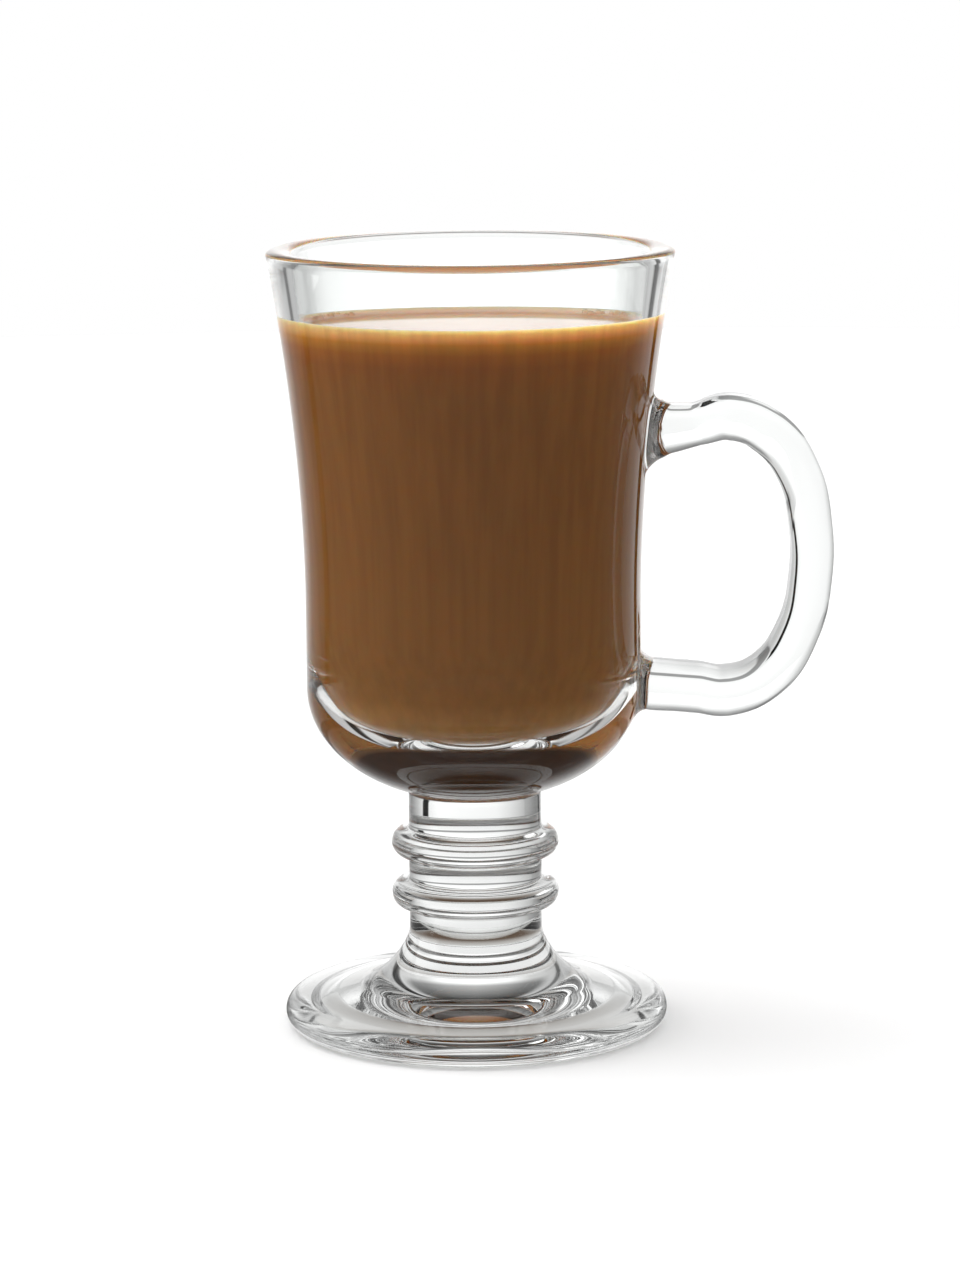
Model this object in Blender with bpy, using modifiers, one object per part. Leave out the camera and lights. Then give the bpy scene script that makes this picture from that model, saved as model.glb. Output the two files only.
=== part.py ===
"""Hot cocoa in a footed glass mug with one handle.

The glass is one piece: a flared bowl, a stem with two rings, a round foot and
a looped handle on the +X side. The cocoa fills the bowl up to its level.
Lengths below are in millimetres; the meshes are in metres, +Z up. The origin
is under the middle of the whole mug, on the surface that it stands on.
"""
import math

import bmesh
import bpy

MM = 0.001
SEGMENTS = 48
MERGE_DISTANCE = 0.00002

# Bowl, outside
HEIGHT = 145.9
RIM_RADIUS = 37.6
WAIST_RADIUS = 31.1
WAIST_Z = 80.4
FLARE_POWER = 1.85
UNDERSIDE_Z = 64.4
UNDERSIDE_LOWEST_Z = 43.4
UNDERSIDE_POWER = 2.05

# Lip: how wide and high its outer rounding is; the inner one ends at the crest
LIP_OUTER_WIDTH = 1.8
LIP_OUTER_HEIGHT = 0.95
LIP_STEPS = 3

# Bowl, inside: stations up the wall with height, radius and lean outwards
INNER_WALL = (
    (62.9, 21.1, 0.49),
    (70.9, 25.0, 0.49),
    (79.9, 27.0, 0.0),
    (133.5, 31.5, 0.105),
    (144.95, 32.7, 0.105),
)
CAVITY_FLOOR_Z = 55.9
CAVITY_POWER = 2.28

# Stem and its two rings
STEM_RADIUS = 12.4
RING_RADIUS = 15.6
RING_HALF_HEIGHT = 2.65
RING_POWER = 2.2
RING_STEPS = 7
RING_CENTRES_Z = (34.9, 25.2)
STEM_FILLET_WIDTH = 1.2
STEM_FILLET_HEIGHT = 0.6

# Foot
FOOT_RADIUS = 35.8
FOOT_EDGE_HEIGHT = 6.1
FOOT_EDGE_TOP_ANGLE = 84.0
FOOT_EDGE_STEPS = 6
FOOT_SHOULDER_Z = 8.0
FLARE_WIDTH = 9.5
FLARE_HEIGHT = 10.5
FLARE_ROUNDNESS = 1.5
FLARE_STEPS = 6
REST_RING_OUTER = 32.4
REST_RING_INNER = 30.4
RECESS_STEP_Z = 1.6
RECESS_STEP_WIDTH = 1.8
RECESS_CENTRE_Z = 3.2
RECESS_STEPS = 3

# Handle, from the upper root round to the lower one: distance of its middle
# line from the bowl's axis, height, and half of its thickness there
HANDLE_LINE = (
    (26.0, 112.3, 4.9),
    (36.0, 112.3, 4.9),
    (41.5, 113.05, 3.75),
    (47.6, 114.4, 4.2),
    (54.5, 111.7, 4.3),
    (60.1, 104.2, 4.05),
    (62.45, 94.1, 3.95),
    (62.5, 84.6, 3.9),
    (60.3, 74.6, 3.9),
    (54.6, 66.2, 4.1),
    (47.0, 63.1, 4.4),
    (40.5, 64.0, 4.35),
    (36.0, 64.7, 4.5),
    (26.0, 64.9, 4.5),
)
HANDLE_THICKNESS = 7.7
HANDLE_WIDTH = 10.4
HANDLE_EDGE_RADIUS = 2.7
HANDLE_EDGE_STEPS = 3
HANDLE_CURVE_STEPS = 4

# Each root spreads over the bowl: height of its middle, and how much it grows
# up and down where it meets the glass
ROOTS = ((112.3, 0.95), (64.9, 0.44))
ROOT_START = 37.5
ROOT_LENGTH = 5.0
ROOT_SPREAD_LIMIT = 1.3
ROOT_SPREAD_ACROSS = 0.4

# How far the handle is cut back: a plug fills the bowl to half of its wall
PLUG_BOTTOM_Z = 41.9
PLUG_STEPS = 16

# Cocoa
LEVEL_Z = 133.3
COCOA_GAP = 0.3
MENISCUS_HEIGHT = 0.7
MENISCUS_WIDTH = 2.6
MENISCUS_SHARES = (0.0, 0.2, 0.5, 1.0)

# The whole mug is centred over the origin, so the bowl's axis stands at -X
HANDLE_REACH = 66.55
AXIS_X = -(HANDLE_REACH - RIM_RADIUS) / 2


def clear_scene():
    for old in list(bpy.data.objects):
        bpy.data.objects.remove(old, do_unlink=True)


def new_collection(name, visible):
    collection = bpy.data.collections.new(name)
    bpy.context.scene.collection.children.link(collection)
    collection.hide_render = not visible
    return collection


def principled(name, colour, roughness, transmission, ior):
    material = bpy.data.materials.new(name)
    material.use_nodes = True
    shader = material.node_tree.nodes["Principled BSDF"]
    shader.inputs["Base Color"].default_value = (*colour, 1.0)
    shader.inputs["Roughness"].default_value = roughness
    shader.inputs["Metallic"].default_value = 0.0
    shader.inputs["Transmission Weight"].default_value = transmission
    shader.inputs["IOR"].default_value = ior
    return material


def arc(centre_r, centre_z, radius, start, end, steps):
    """Points of a circular arc, angles in degrees from the +X direction."""
    points = []
    for step in range(steps + 1):
        angle = math.radians(start + (end - start) * step / steps)
        r = centre_r + radius * math.cos(angle)
        z = centre_z + radius * math.sin(angle)
        points.append((r, z))
    return points


def outer_radius(z):
    """Outer radius of the bowl between its waist and its lip."""
    top_z = HEIGHT - LIP_OUTER_HEIGHT
    share = max(0.0, (z - WAIST_Z) / (top_z - WAIST_Z))
    return WAIST_RADIUS + (RIM_RADIUS - WAIST_RADIUS) * share ** FLARE_POWER


def inner_radius(z):
    """Inner radius of the bowl, eased from station to station."""
    z = min(max(z, INNER_WALL[0][0]), INNER_WALL[-1][0])
    for low, high in zip(INNER_WALL, INNER_WALL[1:]):
        if z <= high[0]:
            break
    rise = high[0] - low[0]
    t = (z - low[0]) / rise
    eased = t * t * (3 - 2 * t)
    leaning = rise * t * (1 - t) * (low[2] * (1 - t) - high[2] * t)
    return low[1] + (high[1] - low[1]) * eased + leaning


def rounded_bottom(radius, rim_z, floor_z, power, steps):
    """A superellipse quarter from the axis at floor_z out to the wall."""
    points = []
    for step in range(steps + 1):
        angle = math.pi / 2 * step / steps
        r = radius * math.sin(angle) ** (2 / power)
        z = rim_z - (rim_z - floor_z) * max(0.0, math.cos(angle)) ** (2 / power)
        points.append((r, z))
    return points


def cavity_round(steps):
    """The cavity's rounded bottom, from its middle out to the leaning wall."""
    round_z, wall_radius, lean = INNER_WALL[0]
    radius = wall_radius - lean * (round_z - CAVITY_FLOOR_Z)
    bottom = rounded_bottom(radius, round_z, CAVITY_FLOOR_Z, CAVITY_POWER, steps)
    return [(r + lean * (z - CAVITY_FLOOR_Z), z) for r, z in bottom]


def cavity_side(steps):
    """The cavity's wall above its rounded bottom, steps for each station."""
    points = []
    for (low, high), count in zip(zip(INNER_WALL, INNER_WALL[1:]), steps):
        for step in range(1, count + 1):
            z = low[0] + (high[0] - low[0]) * step / count
            points.append((inner_radius(z), z))
    return points


def lip(steps):
    """The lip from the inner wall over its crest to the outer wall."""
    inner_z, inner_r = INNER_WALL[-1][0:2]
    crest_r = RIM_RADIUS - LIP_OUTER_WIDTH
    points = []
    for step in range(1, steps + 1):
        angle = math.pi / 2 * step / steps
        r = crest_r - (crest_r - inner_r) * math.cos(angle)
        points.append((r, inner_z + (HEIGHT - inner_z) * math.sin(angle)))
    for step in range(1, steps + 1):
        angle = math.pi / 2 * step / steps
        r = crest_r + LIP_OUTER_WIDTH * math.sin(angle)
        z = HEIGHT - LIP_OUTER_HEIGHT * (1 - math.cos(angle))
        points.append((r, z))
    return points


def bowl_side(steps_flare, steps_under):
    """The bowl's outer surface, from below the lip down to the stem."""
    points = []
    top_z = HEIGHT - LIP_OUTER_HEIGHT
    for step in range(1, steps_flare + 1):
        z = top_z - (top_z - WAIST_Z) * step / steps_flare
        points.append((outer_radius(z), z))
    underside = rounded_bottom(WAIST_RADIUS, UNDERSIDE_Z, UNDERSIDE_LOWEST_Z,
                               UNDERSIDE_POWER, steps_under)
    for r, z in reversed(underside):
        if r > STEM_RADIUS + STEM_FILLET_WIDTH:
            points.append((r, z))
    return points


def stem_side():
    """The stem's outer surface with its rings, top to bottom."""
    points = [(STEM_RADIUS, UNDERSIDE_LOWEST_Z + STEM_FILLET_HEIGHT)]
    for centre_z in RING_CENTRES_Z:
        for step in range(RING_STEPS + 1):
            share = math.cos(math.pi * step / RING_STEPS)
            height = RING_HALF_HEIGHT * share
            bulge = (1 - abs(share) ** RING_POWER) ** (1 / RING_POWER)
            r = STEM_RADIUS + (RING_RADIUS - STEM_RADIUS) * bulge
            points.append((r, centre_z + height))
    return points


def foot_side():
    """The foot: flare, sloping top, rounded edge, rest ring and recess."""
    points = []
    for step in range(FLARE_STEPS + 1):
        angle = math.pi / 2 * step / FLARE_STEPS
        across = max(0.0, math.cos(angle)) ** (2 / FLARE_ROUNDNESS)
        down = math.sin(angle) ** (2 / FLARE_ROUNDNESS)
        r = STEM_RADIUS + FLARE_WIDTH * (1 - across)
        z = FOOT_SHOULDER_Z + FLARE_HEIGHT * (1 - down)
        points.append((r, z))
    edge = FOOT_EDGE_HEIGHT / 2
    points += arc(FOOT_RADIUS - edge, edge, edge, FOOT_EDGE_TOP_ANGLE,
                  -FOOT_EDGE_TOP_ANGLE, FOOT_EDGE_STEPS)
    points.append((REST_RING_OUTER, 0.0))
    points.append((REST_RING_INNER, 0.0))
    for step in range(RECESS_STEPS):
        share = 1 - step / RECESS_STEPS
        r = (REST_RING_INNER - RECESS_STEP_WIDTH) * share
        z = RECESS_CENTRE_Z - (RECESS_CENTRE_Z - RECESS_STEP_Z) * share ** 2
        points.append((r, z))
    points.append((0.0, RECESS_CENTRE_Z))
    return points


def turned(name, profile, material, collection):
    """A closed solid turned about the bowl's axis from a profile in mm."""
    mesh = bpy.data.meshes.new(name)
    vertices = [(r * MM, 0.0, z * MM) for r, z in profile]
    edges = [(i, i + 1) for i in range(len(vertices) - 1)]
    mesh.from_pydata(vertices, edges, [])
    mesh.materials.append(material)
    turned_object = bpy.data.objects.new(name, mesh)
    turned_object.location.x = AXIS_X * MM
    collection.objects.link(turned_object)
    screw = turned_object.modifiers.new("Turn", "SCREW")
    screw.angle = math.tau
    screw.steps = SEGMENTS
    screw.render_steps = SEGMENTS
    screw.use_merge_vertices = True
    screw.merge_threshold = MERGE_DISTANCE
    screw.use_smooth_shade = True
    return turned_object


def rounded_bar_section(collection):
    """The handle's section as a closed curve, width by thickness."""
    reach_x = HANDLE_WIDTH / 2 - HANDLE_EDGE_RADIUS
    reach_y = HANDLE_THICKNESS / 2 - HANDLE_EDGE_RADIUS
    corners = ((1, 1, 0), (-1, 1, 90), (-1, -1, 180), (1, -1, 270))
    points = []
    for side_x, side_y, start in corners:
        points += arc(side_x * reach_x, side_y * reach_y, HANDLE_EDGE_RADIUS,
                      start, start + 90, HANDLE_EDGE_STEPS)
    curve = bpy.data.curves.new("bar section", "CURVE")
    curve.dimensions = "2D"
    spline = curve.splines.new("POLY")
    spline.points.add(len(points) - 1)
    for point, (x, y) in zip(spline.points, points):
        point.co = (x * MM, y * MM, 0.0, 1.0)
    spline.use_cyclic_u = True
    section = bpy.data.objects.new("bar section", curve)
    section.display_type = "WIRE"
    section.hide_render = True
    collection.objects.link(section)
    return section


def handle_curve(collection):
    """The handle's middle line with its section swept along it."""
    curve = bpy.data.curves.new("handle line", "CURVE")
    curve.dimensions = "3D"
    curve.resolution_u = HANDLE_CURVE_STEPS
    curve.bevel_mode = "OBJECT"
    curve.bevel_object = rounded_bar_section(collection)
    curve.use_fill_caps = True
    spline = curve.splines.new("BEZIER")
    spline.bezier_points.add(len(HANDLE_LINE) - 1)
    for point, (x, z, half) in zip(spline.bezier_points, HANDLE_LINE):
        point.co = (x * MM, 0.0, z * MM)
        point.radius = half / (HANDLE_THICKNESS / 2)
        point.handle_left_type = "AUTO"
        point.handle_right_type = "AUTO"
    holder = bpy.data.objects.new("handle line", curve)
    holder.location.x = AXIS_X * MM
    collection.objects.link(holder)
    return holder


def mesh_from_curve(holder, name, collection):
    """A mesh object with the curve's evaluated shape, its caps welded."""
    bpy.context.view_layer.update()
    depsgraph = bpy.context.evaluated_depsgraph_get()
    mesh = bpy.data.meshes.new_from_object(holder.evaluated_get(depsgraph))
    mesh.name = name
    matrix = holder.matrix_world.copy()
    bpy.data.objects.remove(holder, do_unlink=True)
    welded = bmesh.new()
    welded.from_mesh(mesh)
    bmesh.ops.remove_doubles(welded, verts=welded.verts, dist=MERGE_DISTANCE)
    bmesh.ops.recalc_face_normals(welded, faces=welded.faces)
    welded.to_mesh(mesh)
    welded.free()
    made = bpy.data.objects.new(name, mesh)
    made.matrix_world = matrix
    collection.objects.link(made)
    return made


def spread_roots(handle):
    """Widen the handle smoothly where it runs into the bowl."""
    for vertex in handle.data.vertices:
        x, y, z = (value / MM for value in vertex.co)
        share = (ROOT_START - x) / ROOT_LENGTH
        if share <= 0:
            continue
        spread = min(share ** 2, ROOT_SPREAD_LIMIT)
        root_z, growth = min(ROOTS, key=lambda root: abs(root[0] - z))
        vertex.co.y = y * (1 + ROOT_SPREAD_ACROSS * spread) * MM
        vertex.co.z = (root_z + (z - root_z) * (1 + growth * spread)) * MM


def make_handle(collection):
    handle = mesh_from_curve(handle_curve(collection), "handle bar", collection)
    spread_roots(handle)
    return handle


def middle_of_wall():
    """A plug that fills the bowl out to halfway through its wall."""
    points = [(0.0, PLUG_BOTTOM_Z)]
    for step in range(PLUG_STEPS + 1):
        z = PLUG_BOTTOM_Z + (HEIGHT - PLUG_BOTTOM_Z) * step / PLUG_STEPS
        points.append(((outer_radius(z) + inner_radius(z)) / 2, z))
    points.append((0.0, HEIGHT))
    return points[::-1]


def join(target, tool, operation):
    boolean = target.modifiers.new(operation.lower(), "BOOLEAN")
    boolean.operation = operation
    boolean.object = tool
    boolean.solver = "EXACT"


def make_glass(parts, cutters):
    clear = principled("clear glass", (0.96, 0.98, 0.97), 0.02, 1.0, 1.52)
    profile = cavity_round(7) + cavity_side((1, 2, 4, 1)) + lip(LIP_STEPS)
    profile += bowl_side(7, 7) + stem_side() + foot_side()
    glass = turned("glass", profile, clear, parts)

    handle = make_handle(cutters)
    plug = turned("middle of the wall", middle_of_wall(), clear, cutters)
    join(handle, plug, "DIFFERENCE")
    join(glass, handle, "UNION")
    for helper in (handle, plug):
        helper.hide_render = True
        helper.display_type = "WIRE"
    return glass


def make_cocoa(parts):
    brown = principled("cocoa", (0.14, 0.062, 0.026), 0.25, 0.0, 1.35)
    contact_z = LEVEL_Z + MENISCUS_HEIGHT
    wall = inner_radius(contact_z) - COCOA_GAP
    profile = [(0.0, CAVITY_FLOOR_Z + COCOA_GAP)]
    for r, z in cavity_round(7)[1:] + cavity_side((1, 2, 4, 1)):
        if z < LEVEL_Z:
            profile.append((r - COCOA_GAP, z + COCOA_GAP))
    for share in MENISCUS_SHARES:
        z = LEVEL_Z + MENISCUS_HEIGHT * (1 - share) ** 2
        profile.append((wall - MENISCUS_WIDTH * share, z))
    profile.append((0.0, LEVEL_Z))
    return turned("cocoa", profile[::-1], brown, parts)


def main():
    clear_scene()
    parts = new_collection("hot_cocoa", True)
    cutters = new_collection("cutters", False)
    make_glass(parts, cutters)
    make_cocoa(parts)


main()
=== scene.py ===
import math
import random

import bpy
from mathutils import Matrix


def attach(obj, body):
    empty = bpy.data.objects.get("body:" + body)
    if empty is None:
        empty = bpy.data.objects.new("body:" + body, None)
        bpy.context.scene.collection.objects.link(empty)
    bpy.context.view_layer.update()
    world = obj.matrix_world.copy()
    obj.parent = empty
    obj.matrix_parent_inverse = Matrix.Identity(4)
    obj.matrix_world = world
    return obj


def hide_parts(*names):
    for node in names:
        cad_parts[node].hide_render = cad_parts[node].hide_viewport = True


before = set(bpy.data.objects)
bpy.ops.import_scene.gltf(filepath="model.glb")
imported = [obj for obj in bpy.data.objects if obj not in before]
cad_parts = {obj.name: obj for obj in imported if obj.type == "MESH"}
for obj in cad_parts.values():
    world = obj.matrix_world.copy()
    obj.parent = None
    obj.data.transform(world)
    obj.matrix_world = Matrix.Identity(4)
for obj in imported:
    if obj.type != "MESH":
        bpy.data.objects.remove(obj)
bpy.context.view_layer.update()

# Sizes are in millimetres, and the bowl's axis stands at AXIS_X
MM = 0.001
AXIS_X = -14.475
SPIN_STEPS = 144
SMOOTH_BELOW = math.radians(35)

# Outside of the bowl: lip, flared wall, waist and round underside
HEIGHT = 145.9
RIM_RADIUS = 37.6
LIP_OUTER_WIDTH = 1.8
LIP_OUTER_HEIGHT = 0.95
LIP_STEPS = 9
WAIST_RADIUS = 31.1
WAIST_Z = 80.4
BOWL_FLARE_POWER = 1.85
BOWL_STEPS = 40
UNDERSIDE_Z = 64.4
UNDERSIDE_LOWEST_Z = 43.4
UNDERSIDE_POWER = 2.05
UNDERSIDE_STEPS = 36

# Stem: two bulging rings, with fillets and a support point where a straight stretch begins
STEM_RADIUS = 12.4
NECK_FILLET_WIDTH = 1.0
NECK_FILLET_HEIGHT = 1.4
NECK_STEPS = 8
RING_RADIUS = 15.6
RING_HALF_HEIGHT = 2.65
RING_POWER = 2.2
RING_STEPS = 20
RING_CENTRES_Z = (34.9, 25.2)
RING_FILLET = 0.45
RING_FILLET_STEPS = 6
SUPPORT = 0.2

# Foot: flare, rounded edge, the ring it rests on and the hollow under it
FOOT_RADIUS = 35.8
FOOT_EDGE_HEIGHT = 6.1
FOOT_EDGE_SWING = 84
FOOT_EDGE_STEPS = 20
FOOT_SHOULDER_Z = 8.0
FOOT_FLARE_WIDTH = 9.5
FOOT_FLARE_HEIGHT = 10.5
FOOT_FLARE_ROUNDNESS = 1.5
FOOT_FLARE_STEPS = 18
REST_RING_OUTER = 32.4
REST_RING_INNER = 30.4
RECESS_STEP_Z = 1.6
RECESS_STEP_WIDTH = 1.8
RECESS_STEP_SHARES = (0.08, 0.25, 0.5, 0.75, 1.0)
RECESS_CENTRE_Z = 3.2
RECESS_STEPS = 8

# Inside of the bowl: height, radius and lean at each station above its rounded floor
INNER_WALL = (
    (62.9, 21.1, 0.49),
    (70.9, 25.0, 0.49),
    (79.9, 27.0, 0.0),
    (133.5, 31.5, 0.105),
    (144.95, 32.7, 0.105),
)
INNER_WALL_STEP = 1.5
INNER_WALL_LAST_GAP = 0.4
CAVITY_FLOOR_Z = 55.9
CAVITY_POWER = 2.28
CAVITY_STEPS = 28

# Handle: distance from the bowl's axis, height and half thickness
HANDLE_LINE = (
    (26.0, 112.3, 4.9),
    (36.0, 112.3, 4.9),
    (41.5, 113.05, 3.75),
    (47.6, 114.4, 4.2),
    (54.5, 111.7, 4.3),
    (60.1, 104.2, 4.05),
    (62.45, 94.1, 3.95),
    (62.5, 84.6, 3.9),
    (60.3, 74.6, 3.9),
    (54.6, 66.2, 4.1),
    (47.0, 63.1, 4.4),
    (40.5, 64.0, 4.35),
    (36.0, 64.7, 4.5),
    (26.0, 64.9, 4.5),
)
HANDLE_LINE_STEPS = 14
HANDLE_THICKNESS = 7.7
HANDLE_WIDTH = 10.4
HANDLE_EDGE_RADIUS = 2.7
HANDLE_EDGE_STEPS = 8

# Roots of the handle: middle height, fillet up, fillet down, fillet sideways
ROOTS = ((112.3, 4.0, 5.2, 1.6), (64.9, 2.6, 2.4, 2.0))
ROOT_FROM = 42.0
ROOT_TO = 27.0
ROOT_SUNK = 1.8
FILLET_FROM = 0.25
FILLET_TO = 0.85
FILLET_SWING = 84

# Cocoa: its wet rim climbs the wall, and it reaches a little into the wall
LEVEL_Z = 133.2
MENISCUS_HEIGHT = 1.2
MENISCUS_WIDTH = 3.4
MENISCUS_STEPS = 18
SURFACE_RADII = (24.0, 16.0, 8.0, 0.0)
SURFACE_DEPTH = 0.1
SURFACE_LEAST_UPWARD = 0.1
INTO_WALL = 0.05

# Bubbles: radius, distance from the wall in radii, and rows by first and last degree and count
BUBBLE_SIZES = (0.3, 0.85)
BUBBLE_FROM_WALL = (1.0, 2.6)
BUBBLE_ROWS = ((-82, -48, 11), (46, 80, 9))
BUBBLE_SCATTER = 0.6
BUBBLE_SUNK = -0.3
BUBBLE_FILM = 0.06
BUBBLE_SEED = 11


def quarter_turn(steps, first=0):
    """Angles up to a right angle in even steps."""
    return [math.pi / 2 * step / steps for step in range(first, steps + 1)]


def eased(share):
    return share * share * (3 - 2 * share)


def outer_radius(z):
    top_z = HEIGHT - LIP_OUTER_HEIGHT
    share = max(0.0, (z - WAIST_Z) / (top_z - WAIST_Z))
    return WAIST_RADIUS + (RIM_RADIUS - WAIST_RADIUS) * share ** BOWL_FLARE_POWER


def bowl_radius(z):
    """Outer radius of the bowl at any height, its underside too."""
    if z >= UNDERSIDE_Z:
        return outer_radius(z)
    depth = min(1.0, (UNDERSIDE_Z - z) / (UNDERSIDE_Z - UNDERSIDE_LOWEST_Z))
    return WAIST_RADIUS * (1 - depth ** UNDERSIDE_POWER) ** (1 / UNDERSIDE_POWER)


def inner_radius(z):
    z = min(max(z, INNER_WALL[0][0]), INNER_WALL[-1][0])
    for low, high in zip(INNER_WALL, INNER_WALL[1:]):
        if z <= high[0]:
            break
    rise = high[0] - low[0]
    share = (z - low[0]) / rise
    leaning = rise * share * (1 - share) * (low[2] * (1 - share) - high[2] * share)
    return low[1] + (high[1] - low[1]) * eased(share) + leaning


def meniscus_z(from_wall):
    share = min(1.0, from_wall / MENISCUS_WIDTH)
    return LEVEL_Z + MENISCUS_HEIGHT * (1 - share) ** 3


def rounded_bottom(radius, rim_z, floor_z, power, steps):
    """From the middle of a rounded floor out and up to its rim."""
    points = []
    for angle in quarter_turn(steps):
        r = radius * math.sin(angle) ** (2 / power)
        z = rim_z - (rim_z - floor_z) * max(0.0, math.cos(angle)) ** (2 / power)
        points.append((r, z))
    return points


def inner_wall(top_z):
    """The bowl's inner surface from the middle of its floor up to a height."""
    round_z, wall_radius, lean = INNER_WALL[0]
    radius = wall_radius - lean * (round_z - CAVITY_FLOOR_Z)
    points = []
    for r, z in rounded_bottom(radius, round_z, CAVITY_FLOOR_Z, CAVITY_POWER, CAVITY_STEPS):
        points.append((r + lean * (z - CAVITY_FLOOR_Z), z))
    z = round_z + INNER_WALL_STEP
    while z < top_z - INNER_WALL_LAST_GAP:
        points.append((inner_radius(z), z))
        z += INNER_WALL_STEP
    points.append((inner_radius(top_z), top_z))
    return points


def lip_points():
    """From the top of the inner wall over the crest to the outside."""
    inner_z, inner_r = INNER_WALL[-1][0:2]
    crest_r = RIM_RADIUS - LIP_OUTER_WIDTH
    points = []
    for angle in quarter_turn(LIP_STEPS, 1):
        r = crest_r - (crest_r - inner_r) * math.cos(angle)
        points.append((r, inner_z + (HEIGHT - inner_z) * math.sin(angle)))
    for angle in quarter_turn(LIP_STEPS, 1):
        r = crest_r + LIP_OUTER_WIDTH * math.sin(angle)
        points.append((r, HEIGHT - LIP_OUTER_HEIGHT * (1 - math.cos(angle))))
    return points


def bowl_outside():
    """From under the lip down the bowl and its underside to the top of the stem."""
    points = []
    top_z = HEIGHT - LIP_OUTER_HEIGHT
    for step in range(1, BOWL_STEPS + 1):
        z = top_z - (top_z - WAIST_Z) * step / BOWL_STEPS
        points.append((outer_radius(z), z))
    underside = rounded_bottom(WAIST_RADIUS, UNDERSIDE_Z, UNDERSIDE_LOWEST_Z, UNDERSIDE_POWER,
                               UNDERSIDE_STEPS)
    fillet_radius = STEM_RADIUS + NECK_FILLET_WIDTH
    points += [(r, z) for r, z in reversed(underside) if r > fillet_radius]
    neck_r, neck_z = points[-1]
    for angle in quarter_turn(NECK_STEPS, 1):
        r = STEM_RADIUS + (neck_r - STEM_RADIUS) * (1 - math.sin(angle))
        points.append((r, neck_z - NECK_FILLET_HEIGHT * (1 - math.cos(angle))))
    points.append((STEM_RADIUS, points[-1][1] - SUPPORT))
    return points


def stem_ring(centre_z):
    """One bulging ring of the stem, with a small fillet above and below it."""
    top_z = centre_z + RING_HALF_HEIGHT
    foot_z = centre_z - RING_HALF_HEIGHT
    fillet = []
    for angle in quarter_turn(RING_FILLET_STEPS):
        r = STEM_RADIUS + RING_FILLET * (1 - math.cos(angle))
        fillet.append((r, RING_FILLET * (1 - math.sin(angle))))
    points = [(STEM_RADIUS, top_z + RING_FILLET + SUPPORT)]
    points += [(r, top_z + z) for r, z in fillet]
    for step in range(1, RING_STEPS):
        share = math.cos(math.pi * step / RING_STEPS)
        bulge = (1 - abs(share) ** RING_POWER) ** (1 / RING_POWER)
        r = STEM_RADIUS + (RING_RADIUS - STEM_RADIUS) * bulge
        points.append((r, centre_z + RING_HALF_HEIGHT * share))
    points += [(r, foot_z - z) for r, z in reversed(fillet)]
    points.append((STEM_RADIUS, foot_z - RING_FILLET - SUPPORT))
    return points


def foot_points():
    """From the bottom of the stem over the foot and its edge to the middle of its hollow."""
    points = [(STEM_RADIUS, FOOT_SHOULDER_Z + FOOT_FLARE_HEIGHT + SUPPORT)]
    for angle in quarter_turn(FOOT_FLARE_STEPS):
        across = max(0.0, math.cos(angle)) ** (2 / FOOT_FLARE_ROUNDNESS)
        down = math.sin(angle) ** (2 / FOOT_FLARE_ROUNDNESS)
        r = STEM_RADIUS + FOOT_FLARE_WIDTH * (1 - across)
        points.append((r, FOOT_SHOULDER_Z + FOOT_FLARE_HEIGHT * (1 - down)))
    edge = FOOT_EDGE_HEIGHT / 2
    for step in range(FOOT_EDGE_STEPS + 1):
        angle = math.radians(FOOT_EDGE_SWING - 2 * FOOT_EDGE_SWING * step / FOOT_EDGE_STEPS)
        r = FOOT_RADIUS - edge + edge * math.cos(angle)
        points.append((r, edge + edge * math.sin(angle)))
    points += [(REST_RING_OUTER, 0.0), (REST_RING_INNER, 0.0)]
    for share in RECESS_STEP_SHARES:
        r = REST_RING_INNER - RECESS_STEP_WIDTH * share
        points.append((r, RECESS_STEP_Z * eased(share)))
    for step in range(1, RECESS_STEPS + 1):
        share = 1 - step / RECESS_STEPS
        r = (REST_RING_INNER - RECESS_STEP_WIDTH) * share
        points.append((r, RECESS_CENTRE_Z - (RECESS_CENTRE_Z - RECESS_STEP_Z) * share ** 2))
    return points


def turned(name, points):
    """A piece turned on the bowl's axis: one vertex drawn along the profile and spun."""
    bpy.ops.object.select_all(action="DESELECT")
    r, z = points[0]
    start = ((AXIS_X + r) * MM, 0.0, z * MM)
    bpy.ops.mesh.primitive_plane_add(size=MM, location=start)
    piece = bpy.context.object
    piece.name = name
    piece.data.name = name
    bpy.ops.object.mode_set(mode="EDIT")
    bpy.ops.mesh.merge(type="CENTER")
    for (r0, z0), (r1, z1) in zip(points, points[1:]):
        move = ((r1 - r0) * MM, 0.0, (z1 - z0) * MM)
        bpy.ops.mesh.extrude_vertices_move(TRANSFORM_OT_translate={"value": move})
    bpy.ops.mesh.select_all(action="SELECT")
    bpy.ops.mesh.spin(steps=SPIN_STEPS, angle=math.tau, center=(AXIS_X * MM, 0.0, 0.0),
                      axis=(0.0, 0.0, 1.0))
    bpy.ops.mesh.select_all(action="SELECT")
    bpy.ops.mesh.remove_doubles(threshold=0.004 * MM)
    bpy.ops.mesh.normals_make_consistent(inside=False)
    bpy.ops.object.mode_set(mode="OBJECT")
    bpy.ops.object.transform_apply(location=True, rotation=True, scale=True)
    bpy.ops.object.shade_smooth_by_angle(angle=SMOOTH_BELOW)
    return piece


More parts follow.
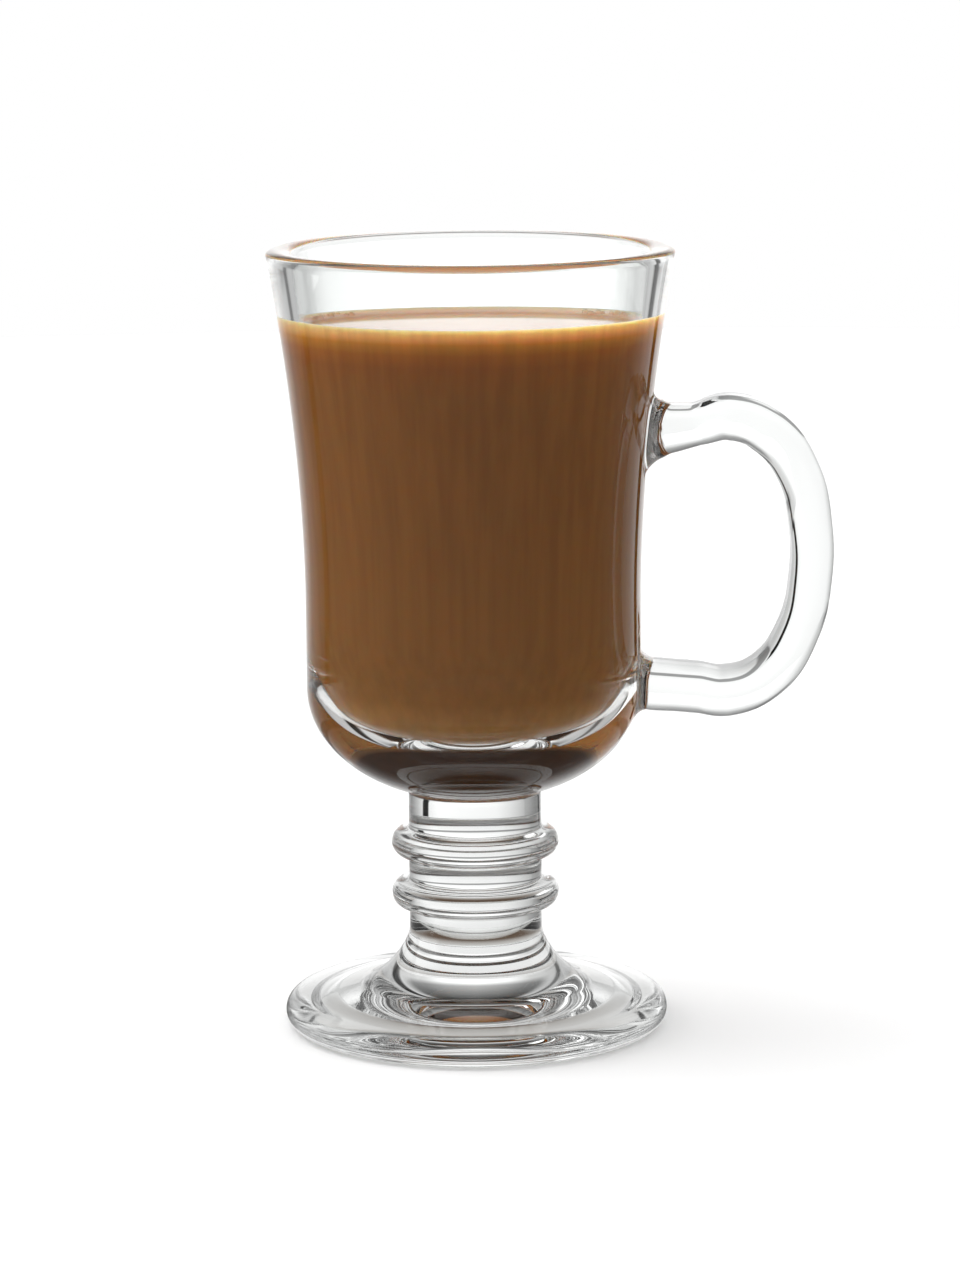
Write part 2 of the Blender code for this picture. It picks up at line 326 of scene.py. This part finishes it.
def bar_section():
    """The handle's rounded section as a closed curve."""
    reach_x = HANDLE_WIDTH / 2 - HANDLE_EDGE_RADIUS
    reach_y = HANDLE_THICKNESS / 2 - HANDLE_EDGE_RADIUS
    points = []
    for side_x, side_y, start in ((1, 1, 0), (-1, 1, 90), (-1, -1, 180), (1, -1, 270)):
        for step in range(HANDLE_EDGE_STEPS + 1):
            angle = math.radians(start + 90 * step / HANDLE_EDGE_STEPS)
            x = side_x * reach_x + HANDLE_EDGE_RADIUS * math.cos(angle)
            y = side_y * reach_y + HANDLE_EDGE_RADIUS * math.sin(angle)
            points.append((x * MM, y * MM))
    curve = bpy.data.curves.new("bar section", "CURVE")
    curve.dimensions = "2D"
    spline = curve.splines.new("POLY")
    spline.points.add(len(points) - 1)
    for point, (x, y) in zip(spline.points, points):
        point.co = (x, y, 0.0, 1.0)
    spline.use_cyclic_u = True
    section = bpy.data.objects.new("bar section", curve)
    bpy.context.scene.collection.objects.link(section)
    return section


def flow_into_bowl(handle):
    """Let the bar's two ends spread in a fillet that lies on the bowl's surface."""
    for vertex in handle.data.vertices:
        x, y, z = (value / MM for value in vertex.co)
        along = (ROOT_FROM - x) / (ROOT_FROM - ROOT_TO)
        if along <= 0:
            continue
        root_z, up, down, side = min(ROOTS, key=lambda root: abs(root[0] - z))
        above = z - root_z
        length = max(0.001, math.hypot(y, above))
        aside, upward = y / length, above / length
        rise = up if upward > 0 else down
        reach = math.sqrt((side * aside) ** 2 + (rise * upward) ** 2)
        share = min(1.0, max(0.0, (along - FILLET_FROM) / (FILLET_TO - FILLET_FROM)))
        angle = math.radians(FILLET_SWING) * share
        spread = reach * (1 - math.cos(angle))
        new_y, new_z = y + aside * spread, z + upward * spread
        surface = math.sqrt(max(0.0, bowl_radius(new_z) ** 2 - new_y ** 2))
        if along < FILLET_FROM:
            new_x = ROOT_FROM + (surface + reach - ROOT_FROM) * along / FILLET_FROM
        else:
            inside = max(0.0, (along - FILLET_TO) / (1 - FILLET_TO))
            new_x = surface + reach * (1 - math.sin(angle)) - ROOT_SUNK * inside
        vertex.co = (new_x * MM, new_y * MM, new_z * MM)


def make_handle():
    section = bar_section()
    bpy.ops.object.select_all(action="DESELECT")
    bpy.ops.curve.primitive_bezier_curve_add(location=(0.0, 0.0, 0.0))
    handle = bpy.context.object
    handle.name = "handle bar"
    curve = handle.data
    curve.resolution_u = HANDLE_LINE_STEPS
    curve.bevel_mode = "OBJECT"
    curve.bevel_object = section
    curve.use_fill_caps = True
    curve.splines.clear()
    spline = curve.splines.new("BEZIER")
    spline.bezier_points.add(len(HANDLE_LINE) - 1)
    for point, (x, z, half) in zip(spline.bezier_points, HANDLE_LINE):
        point.co = (x * MM, 0.0, z * MM)
        point.radius = half / (HANDLE_THICKNESS / 2)
        point.handle_left_type = "AUTO"
        point.handle_right_type = "AUTO"
    bpy.ops.object.convert(target="MESH")
    handle = bpy.context.object
    bpy.data.objects.remove(section)
    bpy.ops.object.mode_set(mode="EDIT")
    bpy.ops.mesh.select_all(action="SELECT")
    bpy.ops.mesh.remove_doubles(threshold=0.01 * MM)
    bpy.ops.mesh.normals_make_consistent(inside=False)
    bpy.ops.object.mode_set(mode="OBJECT")
    flow_into_bowl(handle)
    handle.location.x = AXIS_X * MM
    bpy.ops.object.transform_apply(location=True, rotation=True, scale=True)
    bpy.ops.object.shade_smooth()
    return handle


def make_glass():
    profile = inner_wall(INNER_WALL[-1][0]) + lip_points() + bowl_outside()
    for centre_z in RING_CENTRES_Z:
        profile += stem_ring(centre_z)
    profile += foot_points()
    glass = turned("clear_glass_mug", profile)
    handle = make_handle()
    bpy.ops.object.select_all(action="DESELECT")
    glass.select_set(True)
    bpy.context.view_layer.objects.active = glass
    union = glass.modifiers.new("handle joined on", "BOOLEAN")
    union.operation = "UNION"
    union.object = handle
    union.solver = "EXACT"
    bpy.ops.object.modifier_apply(modifier=union.name)
    bpy.data.objects.remove(handle)
    return glass


def make_cocoa():
    floor_middle, *wall = inner_wall(LEVEL_Z + MENISCUS_HEIGHT)
    profile = [floor_middle] + [(r + INTO_WALL, z) for r, z in wall]
    rim_r = profile[-1][0]
    for step in range(1, MENISCUS_STEPS + 1):
        from_wall = MENISCUS_WIDTH * (step / MENISCUS_STEPS)
        profile.append((rim_r - from_wall, meniscus_z(from_wall)))
    profile += [(r, LEVEL_Z) for r in SURFACE_RADII]
    return turned("hot_cocoa", profile)


def bubble_dome():
    """A thin hollow ball of one millimetre radius, cut open a little below its middle."""
    bpy.ops.object.select_all(action="DESELECT")
    bpy.ops.mesh.primitive_uv_sphere_add(segments=24, ring_count=12, radius=MM)
    dome = bpy.context.object
    bpy.ops.object.mode_set(mode="EDIT")
    bpy.ops.mesh.select_all(action="SELECT")
    bpy.ops.mesh.bisect(plane_co=(0.0, 0.0, BUBBLE_SUNK * MM), plane_no=(0.0, 0.0, 1.0),
                        clear_inner=True)
    bpy.ops.object.mode_set(mode="OBJECT")
    film = dome.modifiers.new("film", "SOLIDIFY")
    film.thickness = BUBBLE_FILM * MM
    bpy.ops.object.modifier_apply(modifier=film.name)
    bpy.ops.object.shade_smooth_by_angle(angle=SMOOTH_BELOW)
    return dome


def make_bubbles():
    """Small domed bubbles on the drink along the far wall, left and right."""
    dome = bubble_dome()
    chance = random.Random(BUBBLE_SEED)
    copies = []
    for first, last, count in BUBBLE_ROWS:
        for step in range(count):
            size = chance.uniform(*BUBBLE_SIZES)
            place = step + chance.random() * BUBBLE_SCATTER
            turn = math.radians(first + (last - first) * place / count)
            from_wall = size * chance.uniform(*BUBBLE_FROM_WALL)
            r = inner_radius(LEVEL_Z) - from_wall
            copy = dome.copy()
            copy.data = dome.data.copy()
            bpy.context.scene.collection.objects.link(copy)
            copy.scale = (size, size, size)
            copy.location = ((AXIS_X + r * math.sin(turn)) * MM, r * math.cos(turn) * MM,
                             meniscus_z(from_wall) * MM)
            copies.append(copy)
    bpy.data.objects.remove(dome)
    bpy.ops.object.select_all(action="DESELECT")
    for copy in copies:
        copy.select_set(True)
    bpy.context.view_layer.objects.active = copies[0]
    bpy.ops.object.join()
    bpy.ops.object.transform_apply(location=True, rotation=True, scale=True)
    bubbles = bpy.context.object
    bubbles.name = "edge_bubbles"
    bubbles.data.name = "edge_bubbles"
    return bubbles


# Materials
def new_material(name):
    material = bpy.data.materials.new(name)
    material.use_nodes = True
    return material, material.node_tree, material.node_tree.nodes["Principled BSDF"]


def fill(tree, node, inputs):
    """Give a node its inputs: another node's output is linked, a number or colour is set."""
    for name, value in inputs.items():
        if isinstance(value, bpy.types.NodeSocket):
            tree.links.new(value, node.inputs[name])
        else:
            node.inputs[name].default_value = value


def add_node(tree, kind, inputs, **settings):
    node = tree.nodes.new(kind)
    for name, value in settings.items():
        setattr(node, name, value)
    fill(tree, node, inputs)
    return node


def calculate(tree, operation, *values):
    node = add_node(tree, "ShaderNodeMath", dict(enumerate(values)), operation=operation)
    return node.outputs[0]


def times(tree, first, second):
    """Two colours or places multiplied, part by part."""
    node = add_node(tree, "ShaderNodeVectorMath", {0: first, 1: second}, operation="MULTIPLY")
    return node.outputs["Vector"]


def parts_of(tree, vector):
    return add_node(tree, "ShaderNodeSeparateXYZ", {0: vector}).outputs


def place_on_piece(tree):
    return add_node(tree, "ShaderNodeTexCoord", {}).outputs["Object"]


def height_on_piece(tree):
    return parts_of(tree, place_on_piece(tree))["Z"]


def noise(tree, place, scale, detail):
    inputs = {"Vector": place, "Scale": scale, "Detail": detail}
    return add_node(tree, "ShaderNodeTexNoise", inputs).outputs["Fac"]


def rescaled(tree, value, low, high, to_low=0.0, to_high=1.0, easing="LINEAR"):
    """A value that runs from low to high made to run from to_low to to_high."""
    inputs = {"Value": value, "From Min": low, "From Max": high, "To Min": to_low,
              "To Max": to_high}
    node = add_node(tree, "ShaderNodeMapRange", inputs, interpolation_type=easing)
    return node.outputs["Result"]


def ramp_of(tree, value, stops):
    """A colour ramp over a value; each stop is a position and its grey or colour."""
    ramp = add_node(tree, "ShaderNodeValToRGB", {"Fac": value})
    elements = ramp.color_ramp.elements
    while len(elements) < len(stops):
        elements.new(0.5)
    for element, (position, colour) in zip(elements, stops):
        element.position = position
        if isinstance(colour, float):
            colour = (colour, colour, colour)
        element.color = (*colour, 1.0)
    return ramp.outputs["Color"]


def mixed_colour(tree, share, first, second):
    inputs = {"Factor": share, "A": first, "B": second}
    return add_node(tree, "ShaderNodeMix", inputs, data_type="RGBA").outputs["Result"]


def mixed_shader(tree, share, first, second):
    return add_node(tree, "ShaderNodeMixShader", {0: share, 1: first, 2: second}).outputs["Shader"]


def srgb(red, green, blue):
    """A screen colour of 0 to 255 as the linear colour that a node takes."""
    def linear(value):
        value /= 255
        return value / 12.92 if value <= 0.04045 else ((value + 0.055) / 1.055) ** 2.4
    return (linear(red), linear(green), linear(blue))


WHITE = (1.0, 1.0, 1.0, 1.0)
BLACK = (0.0, 0.0, 0.0, 1.0)
GLASS_TINT = (0.972, 0.984, 0.977, 1.0)
GLASS_IOR = 1.52
RIPPLE_SCALE = 40.0
RIPPLE_STRENGTH = 0.03
RIPPLE_HEIGHT = 0.2

# Cocoa seen through the wall, from its floor to its wet rim: painted shade darkens the floor, a
# paler band just above it is painted light, and painted light from above turns the top orange and
# tan
COCOA_UPWARD_WITH_PAINTED_LIGHT = (
    (0.0, srgb(68, 45, 31)),
    (0.028, srgb(74, 49, 33)),
    (0.04, srgb(196, 146, 96)),
    (0.07, srgb(190, 138, 82)),
    (0.12, srgb(174, 119, 62)),
    (0.3, srgb(168, 115, 62)),
    (0.84, srgb(166, 111, 58)),
    (0.91, srgb(168, 106, 52)),
    (0.94, srgb(184, 114, 50)),
    (0.965, srgb(214, 150, 66)),
    (0.982, srgb(238, 200, 126)),
    (1.0, srgb(242, 208, 172)),
)
STREAK_SCALE = 520.0
STREAK_STRETCH = (1.0, 1.0, 0.02)
STREAK_NOISE = (0.35, 0.65)
STREAK_TONES = (0.93, 1.07)

# Near the floor, where the colour is painted dark as shade, the cocoa mirrors almost nothing
DULL_FLOOR_Z = 58.2
DULL_FLOOR_EDGE = 0.5
DULL_FLOOR_MIRROR = 0.015

# Seen from inside the glass, the wet cocoa bends light less than the glass does
COCOA_IOR = 1.34
COCOA_AGAINST_GLASS_IOR = 0.882

# Light spreads a few millimetres through the milky drink, red the furthest
LIGHT_SPREAD = {
    "Subsurface Weight": 1.0,
    "Subsurface Radius": (1.0, 0.45, 0.2),
    "Subsurface Scale": 4.0 * MM,
}
FROTH_HEIGHT = 0.3
FROTH_UPWARD = ((0.0, srgb(184, 136, 98)), (1.0, srgb(212, 182, 160)))
FILM_SCALE = 900.0
FILM_TINTS = ((0.35, (0.95, 0.86, 0.76)), (0.65, (1.0, 0.97, 0.93)))
FILM_IOR = 1.33


def clear_pressed_glass():
    """Clear glass whose surface ripples very slightly."""
    material, tree, shader = new_material("clear pressed glass")
    ripple = noise(tree, place_on_piece(tree), RIPPLE_SCALE, detail=1.0)
    bump = add_node(tree, "ShaderNodeBump", {"Height": ripple, "Strength": RIPPLE_STRENGTH,
                                             "Distance": RIPPLE_HEIGHT * MM})
    fill(tree, shader, {"Base Color": GLASS_TINT, "Roughness": 0.0, "IOR": GLASS_IOR,
                        "Transmission Weight": 1.0, "Normal": bump.outputs["Normal"]})
    return material


def cocoa_colour_with_painted_light(tree):
    """Brown with faint upright streaks; painted light makes a tan band at the top and a paler one
    just above the floor, and painted shade darkens the floor.
    """
    share = rescaled(tree, height_on_piece(tree), CAVITY_FLOOR_Z * MM,
                     (LEVEL_Z + MENISCUS_HEIGHT) * MM)
    stretched = times(tree, place_on_piece(tree), STREAK_STRETCH)
    streaks = noise(tree, stretched, STREAK_SCALE, detail=3.0)
    tones = rescaled(tree, streaks, *STREAK_NOISE, *STREAK_TONES)
    return times(tree, ramp_of(tree, share, COCOA_UPWARD_WITH_PAINTED_LIGHT), tones)


def cocoa_behind_glass():
    """Wet against the wall: brown when seen straight on, a mirror when seen along the wall."""
    material, tree, shader = new_material("cocoa behind glass")
    fill(tree, shader, {"Base Color": cocoa_colour_with_painted_light(tree), "Roughness": 0.6,
                        "Specular IOR Level": 0.0, **LIGHT_SPREAD})
    border = add_node(tree, "ShaderNodeFresnel", {"IOR": COCOA_AGAINST_GLASS_IOR})
    wet = rescaled(tree, height_on_piece(tree), DULL_FLOOR_Z * MM,
                   (DULL_FLOOR_Z + DULL_FLOOR_EDGE) * MM, DULL_FLOOR_MIRROR, 1.0, "SMOOTHSTEP")
    share = calculate(tree, "MULTIPLY", border.outputs["Fac"], wet)
    mirror = add_node(tree, "ShaderNodeBsdfGlossy", {"Roughness": 0.0, "Color": WHITE})
    mixed = mixed_shader(tree, share, shader.outputs["BSDF"], mirror.outputs["BSDF"])
    tree.links.new(mixed, tree.nodes["Material Output"].inputs["Surface"])
    return material


def cocoa_surface():
    """Brown in the middle, with a paler frothy edge where it climbs the wall."""
    material, tree, shader = new_material("cocoa surface")
    share = rescaled(tree, height_on_piece(tree), LEVEL_Z * MM, (LEVEL_Z + FROTH_HEIGHT) * MM)
    fill(tree, shader, {"Base Color": ramp_of(tree, share, FROTH_UPWARD), "Roughness": 0.05,
                        "IOR": COCOA_IOR, **LIGHT_SPREAD})
    return material


def bubble_film():
    """Clear film with a faint oily change of colour."""
    material, tree, shader = new_material("bubble film")
    swirl = noise(tree, place_on_piece(tree), FILM_SCALE, detail=2.0)
    fill(tree, shader, {"Base Color": ramp_of(tree, swirl, FILM_TINTS), "Roughness": 0.0,
                        "IOR": FILM_IOR, "Transmission Weight": 1.0})
    return material


glass = make_glass()
glass.data.materials.append(clear_pressed_glass())
cocoa = make_cocoa()
cocoa.data.materials.append(cocoa_behind_glass())
cocoa.data.materials.append(cocoa_surface())
for face in cocoa.data.polygons:
    faces_up = face.normal.z > SURFACE_LEAST_UPWARD
    if faces_up and face.center.z > (LEVEL_Z - SURFACE_DEPTH) * MM:
        face.material_index = 1

bubbles = make_bubbles()
bubbles.data.materials.append(bubble_film())
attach(bubbles, "root")
for piece, node, slot in ((glass, "glass", "clear_glass"), (cocoa, "cocoa", "cocoa")):
    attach(piece, "root")
    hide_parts(node)

# Studio brightness by degrees from straight behind the mug, left of it below zero
TABLE_AROUND = (
    (-180, 0.2), (-110, 0.22), (-78, 0.17), (-67, 0.13), (-56, 0.19), (-38, 0.42), (-36, 0.4),
    (-35, 0.53), (-12, 0.98), (10, 1.05), (22, 1.1), (36, 0.85), (55, 0.4), (66, 0.2), (90, 0.12),
    (180, 0.2),
)
SCREENS_AROUND = (
    (-67, 1.0), (-66, 0.05), (-61, 0.05), (-60, 1.0), (31.5, 1.0), (32, 0.01), (38, 0.01),
    (38.5, 1.0),
)
WALLS_AROUND = (
    (-180, 0.03), (-115, 0.04), (-106, 1.6), (-70, 1.6), (-67, 0.04), (-61, 0.04), (-60, 0.6),
    (-41, 0.55), (-40, 0.15), (-36, 0.15), (-35, 0.55), (-20, 0.7), (-11, 1.15), (0, 1.5),
    (11, 1.25), (19, 0.8), (25, 0.75), (33, 0.7), (34, 0.02), (40, 0.02), (41, 0.6), (62, 0.6),
    (75, 0.5), (80, 0.04), (180, 0.03),
)
BACKDROP_AROUND = ((-32, 0.0), (-26, 1.0), (26, 1.0), (32, 0.0))
LIGHT_AROUND = (
    (-180, 0.95), (-128, 0.95), (-100, 2.6), (-60, 2.6), (-30, 0.9), (0, 0.9), (60, 0.95),
    (120, 0.95), (180, 0.95),
)

# Studio brightness by degrees above the table
BACKDROP_UP = ((0, 1.0), (9, 1.0), (17, 0.38), (30, 0.2), (45, 0.06), (90, 0.06))
SIDES_UP = ((-2.5, 1.0), (-1.2, 0.5), (1.0, 0.5), (2.2, 1.0), (38, 1.0), (48, 0.1), (90, 0.06))
LIGHT_UP = ((0, 1.0), (90, 1.3))

# Table by metres from the bowl's axis: its tones, and where those by direction begin
# Its first tones paint the mug's shadow on the table, dark brown under the stem and lightening out
# to 35 mm
TABLE_OUTWARD_WITH_PAINTED_SHADOW = (
    (0.0, (0.09, 0.055, 0.035)), (0.011, (0.12, 0.08, 0.055)), (0.02, (0.5, 0.48, 0.46)),
    (0.035, 0.9), (0.13, 1.0), (0.135, 0.35), (0.165, 0.35), (0.17, 1.0), (0.25, 1.1),
    (0.45, 1.04),
)
TABLE_AROUND_FROM = 0.036
SCREENS_FROM = 0.18
TABLE_RADIUS = 1.2
TABLE_WHITE = (0.9, 0.9, 0.9, 1.0)


def stops_round(stops):
    return [((azimuth + 180) / 360, strength) for azimuth, strength in stops]


def stops_up(stops):
    return [(math.sin(math.radians(up)) * 0.5 + 0.5, strength) for up, strength in stops]


def turn_share(tree, parts):
    """Direction round the mug as 0 to 1: 0.5 is straight behind it, 0.75 the handle's side."""
    angle = calculate(tree, "ARCTAN2", parts["X"], parts["Y"])
    return calculate(tree, "MULTIPLY_ADD", angle, 1 / math.tau, 0.5)


def flat_disc(name, z):
    bpy.ops.object.select_all(action="DESELECT")
    bpy.ops.mesh.primitive_circle_add(vertices=64, radius=TABLE_RADIUS, fill_type="NGON",
                                      location=(0, 0, z))
    disc = bpy.context.object
    disc.name = name
    material, tree, shader = new_material(name)
    disc.data.materials.append(material)
    return disc, tree, shader


def make_white_table():
    """The table as the camera sees it, plain white."""
    table, tree, shader = flat_disc("white table", z=-0.0001)
    fill(tree, shader, {"Base Color": TABLE_WHITE, "Roughness": 0.7, "Specular IOR Level": 0.1})
    table.visible_diffuse = False
    table.visible_glossy = False
    table.visible_transmission = False
    table.visible_shadow = False


def make_table_in_the_glass():
    """The table as the glass shows it: the mug's shadow painted dark under it, a ring and screens
    round it.
    """
    table, tree, shader = flat_disc("table in the glass", z=-0.0003)
    shifted = add_node(tree, "ShaderNodeVectorMath",
                       {0: place_on_piece(tree), 1: (AXIS_X * MM, 0.0, 0.0)},
                       operation="SUBTRACT").outputs["Vector"]
    distance = add_node(tree, "ShaderNodeVectorMath", {0: shifted},
                        operation="LENGTH").outputs["Value"]
    turn = turn_share(tree, parts_of(tree, shifted))
    # The glow by distance carries the mug's shadow, painted dark brown under the stem
    tones = ramp_of(tree, distance, TABLE_OUTWARD_WITH_PAINTED_SHADOW)
    for stops, start in ((TABLE_AROUND, TABLE_AROUND_FROM), (SCREENS_AROUND, SCREENS_FROM)):
        beyond = calculate(tree, "GREATER_THAN", distance, start)
        around = ramp_of(tree, turn, stops_round(stops))
        tones = times(tree, tones, mixed_colour(tree, beyond, WHITE, around))
    fill(tree, shader, {"Emission Color": tones, "Emission Strength": 1.0, "Base Color": BLACK,
                        "Specular IOR Level": 0.0})
    table.visible_camera = False


def background(tree, colour):
    return add_node(tree, "ShaderNodeBackground", {"Color": colour}).outputs["Background"]


def make_surround():
    """A bright backdrop behind the mug, soft boxes beside it and a dark room in front."""
    world = bpy.data.worlds.new("studio")
    bpy.context.scene.world = world
    world.use_nodes = True
    tree = world.node_tree
    tree.nodes.clear()
    direction = add_node(tree, "ShaderNodeTexCoord", {}).outputs["Generated"]
    parts = parts_of(tree, direction)
    around = turn_share(tree, parts)
    upward = calculate(tree, "MULTIPLY_ADD", parts["Z"], 0.5, 0.5)
    behind = ramp_of(tree, around, stops_round(BACKDROP_AROUND))
    walls_up = mixed_colour(tree, behind, ramp_of(tree, upward, stops_up(SIDES_UP)),
                            ramp_of(tree, upward, stops_up(BACKDROP_UP)))
    in_glass = times(tree, ramp_of(tree, around, stops_round(WALLS_AROUND)), walls_up)
    on_drink = times(tree, ramp_of(tree, around, stops_round(LIGHT_AROUND)),
                     ramp_of(tree, upward, stops_up(LIGHT_UP)))
    ray = add_node(tree, "ShaderNodeLightPath", {}).outputs
    scattered = calculate(tree, "GREATER_THAN", ray["Diffuse Depth"], 0.5)
    lit = mixed_shader(tree, scattered, background(tree, in_glass), background(tree, on_drink))
    seen = mixed_shader(tree, ray["Is Camera Ray"], lit, background(tree, WHITE))
    add_node(tree, "ShaderNodeOutputWorld", {"Surface": seen})


make_white_table()
make_table_in_the_glass()
make_surround()

# Camera at the photo's angle: lens in the photo's pixels, place in metres, turns in degrees
FOCAL_PIXELS = 4608
PHOTO_PIXELS = 1280
SENSOR = 36.0
CAMERA_PLACE = ((AXIS_X + 1.2) * MM, -0.843, 0.2227)
LOOKING_DOWN = 10.08
LEANING = -0.47
FARTHEST_SEEN = 10.0
BOUNCES = 48

camera_data = bpy.data.cameras.new("camera")
camera_data.sensor_fit = "AUTO"
camera_data.sensor_width = SENSOR
camera_data.lens = FOCAL_PIXELS * SENSOR / PHOTO_PIXELS
camera_data.clip_end = FARTHEST_SEEN
camera = bpy.data.objects.new("camera", camera_data)
camera.location = CAMERA_PLACE
tilt = Matrix.Rotation(math.radians(90 - LOOKING_DOWN), 4, "X")
roll = Matrix.Rotation(math.radians(LEANING), 4, "Z")
camera.rotation_euler = (tilt @ roll).to_euler()
bpy.context.scene.collection.objects.link(camera)
bpy.context.scene.camera = camera
bpy.context.scene.view_settings.view_transform = "Standard"

# Clear glass needs many bounces
bpy.context.scene.cycles.max_bounces = BOUNCES
bpy.context.scene.cycles.transmission_bounces = BOUNCES
bpy.context.scene.cycles.glossy_bounces = BOUNCES
